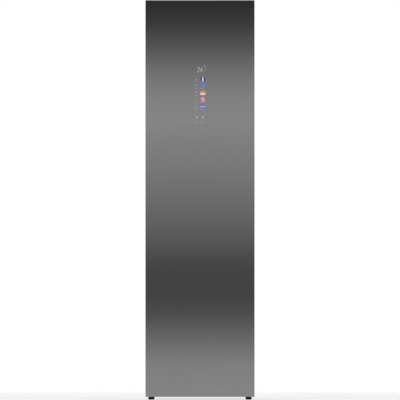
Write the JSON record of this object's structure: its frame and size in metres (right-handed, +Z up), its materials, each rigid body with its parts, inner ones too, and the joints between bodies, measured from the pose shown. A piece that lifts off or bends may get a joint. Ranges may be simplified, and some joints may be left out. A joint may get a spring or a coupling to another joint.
{
  "type": "clothes care steam cabinet",
  "caption": "Tall steam cabinet for clothes with a full-height dark glass door, a shaking hanger rail, water tanks and a heat pump.",
  "frame": {"origin": "on the floor, under the middle of the cabinet with its door shut", "axes": "+Z up, +X to the right as seen from the front, the door's glass towards -Y"},
  "size_m": [0.505, 0.59, 1.85],
  "materials": {
    "dark_mirror_glass": "dark tinted glass with a mirror coat behind it",
    "painted_steel": "fine dark grey paint",
    "door_profile": "dark grey painted profile",
    "galvanised_steel": "galvanised sheet",
    "machined_steel": "bright steel",
    "chrome": "polished chrome",
    "liner_plastic": "satin white moulded plastic",
    "grey_plastic": "matte grey moulded plastic",
    "dark_plastic": "matte dark moulded plastic",
    "black_rubber": "black rubber",
    "grey_rubber": "grey soft seal",
    "tank_plastic": "smoky translucent plastic",
    "press_felt": "board with a felt face",
    "copper": "copper tube",
    "fin_aluminium": "fine aluminium fins",
    "compressor_black": "black enamel",
    "lamp_diffuser": "opal diffuser",
    "display": "black display board"
  },
  "bodies": {
    "cabinet": {"base_frame": "galvanised_steel", "side_panel_left": "painted_steel", "side_panel_right": "painted_steel", "top_panel": "painted_steel", "back_panel": "galvanised_steel", "mains_inlet": "dark_plastic", "hinge_bracket_upper": "machined_steel", "hinge_bracket_lower": "machined_steel", "hinge_pin_upper": "machined_steel", "hinge_pin_lower": "machined_steel", "inner_liner": "liner_plastic", "air_grille": "grey_plastic", "steam_nozzle": "dark_plastic", "interior_lamp": "lamp_diffuser", "shaker_bracket": "galvanised_steel", "guide_rod": "chrome", "shaker_motor": "machined_steel", "drive_belt": "black_rubber", "tank_bay": "liner_plastic", "air_duct": "grey_plastic", "evaporator": "fin_aluminium", "condenser": "fin_aluminium", "fan_housing": "grey_plastic", "fan_motor": "machined_steel", "compressor": "compressor_black", "refrigerant_pipe": "copper", "steam_generator": "machined_steel", "supply_pump": "dark_plastic", "drain_pump": "dark_plastic", "control_box": "grey_plastic"},
    "door": {"door_glass": "dark_mirror_glass", "door_shell": "door_profile", "door_cap_top": "dark_plastic", "door_cap_bottom": "dark_plastic", "door_liner": "liner_plastic", "door_gasket": "grey_rubber", "control_display": "display", "press_board": "press_felt", "press_hinge_pin": "machined_steel"},
    "press_leaf": {"press_leaf": "liner_plastic"},
    "trouser_clip": {"trouser_clip": "grey_plastic"},
    "supply_tank": {"supply_tank": "tank_plastic"},
    "supply_tank_lid": {"supply_tank_lid": "grey_plastic"},
    "drain_tank": {"drain_tank": "tank_plastic"},
    "drain_tank_lid": {"drain_tank_lid": "grey_plastic"},
    "lint_filter": {"lint_filter": "grey_plastic"},
    "scent_cartridge": {"scent_cartridge": "grey_plastic"},
    "shelf": {"shelf": "chrome"},
    "hanger_rail": {"shaker_carriage": "dark_plastic", "hanger_rail": "chrome"},
    "hanger_left": {"hanger_left": "dark_plastic"},
    "hanger_middle": {"hanger_middle": "dark_plastic"},
    "hanger_right": {"hanger_right": "dark_plastic"},
    "crank_pulley": {"crank_pulley": "dark_plastic"},
    "motor_pulley": {"motor_pulley": "dark_plastic"},
    "fan_impeller": {"fan_impeller": "dark_plastic"},
    "foot_front_left": {"levelling_foot_front_left": "black_rubber"},
    "foot_front_right": {"levelling_foot_front_right": "black_rubber"},
    "foot_rear_left": {"levelling_foot_rear_left": "black_rubber"},
    "foot_rear_right": {"levelling_foot_rear_right": "black_rubber"}
  },
  "joints": [
    {"name": "door_swing", "type": "hinge", "parent": "cabinet", "child": "door", "pos_m": [0.2385, -0.27, 0.9318], "axis": [0, 0, 1], "range_deg": [0, 110]},
    {"name": "press_leaf_swing", "type": "hinge", "parent": "door", "child": "press_leaf", "pos_m": [0.166, -0.2237, 1.09], "axis": [0, 0, -1], "range_deg": [0, 90]},
    {"name": "trouser_clip_open", "type": "hinge", "parent": "door", "child": "trouser_clip", "pos_m": [0, -0.2177, 1.502], "axis": [1, 0, 0], "range_deg": [0, 25], "stiffness_Nm_per_rad": 0.15},
    {"name": "supply_tank_pull", "type": "slide", "parent": "cabinet", "child": "supply_tank", "axis": [0, -1, 0], "range_m": [0, 0.045]},
    {"name": "supply_tank_lid_lift", "type": "slide", "parent": "supply_tank", "child": "supply_tank_lid", "axis": [0, 0, 1], "range_m": [0, 0.04]},
    {"name": "drain_tank_pull", "type": "slide", "parent": "cabinet", "child": "drain_tank", "axis": [0, -1, 0], "range_m": [0, 0.045]},
    {"name": "drain_tank_lid_lift", "type": "slide", "parent": "drain_tank", "child": "drain_tank_lid", "axis": [0, 0, 1], "range_m": [0, 0.04]},
    {"name": "lint_filter_lift", "type": "slide", "parent": "cabinet", "child": "lint_filter", "axis": [0, 0, 1], "range_m": [0, 0.06]},
    {"name": "scent_cartridge_lift", "type": "slide", "parent": "cabinet", "child": "scent_cartridge", "axis": [0, 0, 1], "range_m": [0, 0.04]},
    {"name": "shelf_lift", "type": "slide", "parent": "cabinet", "child": "shelf", "axis": [0, 0, 1], "range_m": [0, 0.04]},
    {"name": "rail_shake", "type": "slide", "parent": "cabinet", "child": "hanger_rail", "axis": [1, 0, 0], "range_m": [-0.02, 0.02]},
    {"name": "crank_spin", "type": "hinge", "parent": "cabinet", "child": "crank_pulley", "pos_m": [0, 0.008, 1.797], "axis": [0, 0, 1], "continuous": true},
    {"name": "motor_pulley_spin", "type": "hinge", "parent": "cabinet", "child": "motor_pulley", "pos_m": [0, 0.1, 1.797], "axis": [0, 0, 1], "continuous": true},
    {"name": "fan_spin", "type": "hinge", "parent": "cabinet", "child": "fan_impeller", "pos_m": [-0.11, 0.157, 0.232], "axis": [0, 1, 0], "continuous": true},
    {"name": "hanger_left_sway", "type": "hinge", "parent": "hanger_rail", "child": "hanger_left", "pos_m": [-0.12, 0.008, 1.6453], "axis": [1, 0, 0], "range_deg": [-12, 12]},
    {"name": "hanger_middle_sway", "type": "hinge", "parent": "hanger_rail", "child": "hanger_middle", "pos_m": [0, 0.008, 1.6453], "axis": [1, 0, 0], "range_deg": [-12, 12]},
    {"name": "hanger_right_sway", "type": "hinge", "parent": "hanger_rail", "child": "hanger_right", "pos_m": [0.12, 0.008, 1.6453], "axis": [1, 0, 0], "range_deg": [-12, 12]},
    {"name": "foot_front_left_turn", "type": "hinge", "parent": "cabinet", "child": "foot_front_left", "pos_m": [-0.2255, -0.2, 0], "axis": [0, 0, 1], "continuous": true},
    {"name": "foot_front_right_turn", "type": "hinge", "parent": "cabinet", "child": "foot_front_right", "pos_m": [0.2255, -0.2, 0], "axis": [0, 0, 1], "continuous": true},
    {"name": "foot_rear_left_turn", "type": "hinge", "parent": "cabinet", "child": "foot_rear_left", "pos_m": [-0.2255, 0.255, 0], "axis": [0, 0, 1], "continuous": true},
    {"name": "foot_rear_right_turn", "type": "hinge", "parent": "cabinet", "child": "foot_rear_right", "pos_m": [0.2255, 0.255, 0], "axis": [0, 0, 1], "continuous": true}
  ],
  "couplings": [
    {"joint": "motor_pulley_spin", "follows": "crank_spin", "ratio": 2.8333}
  ]
}
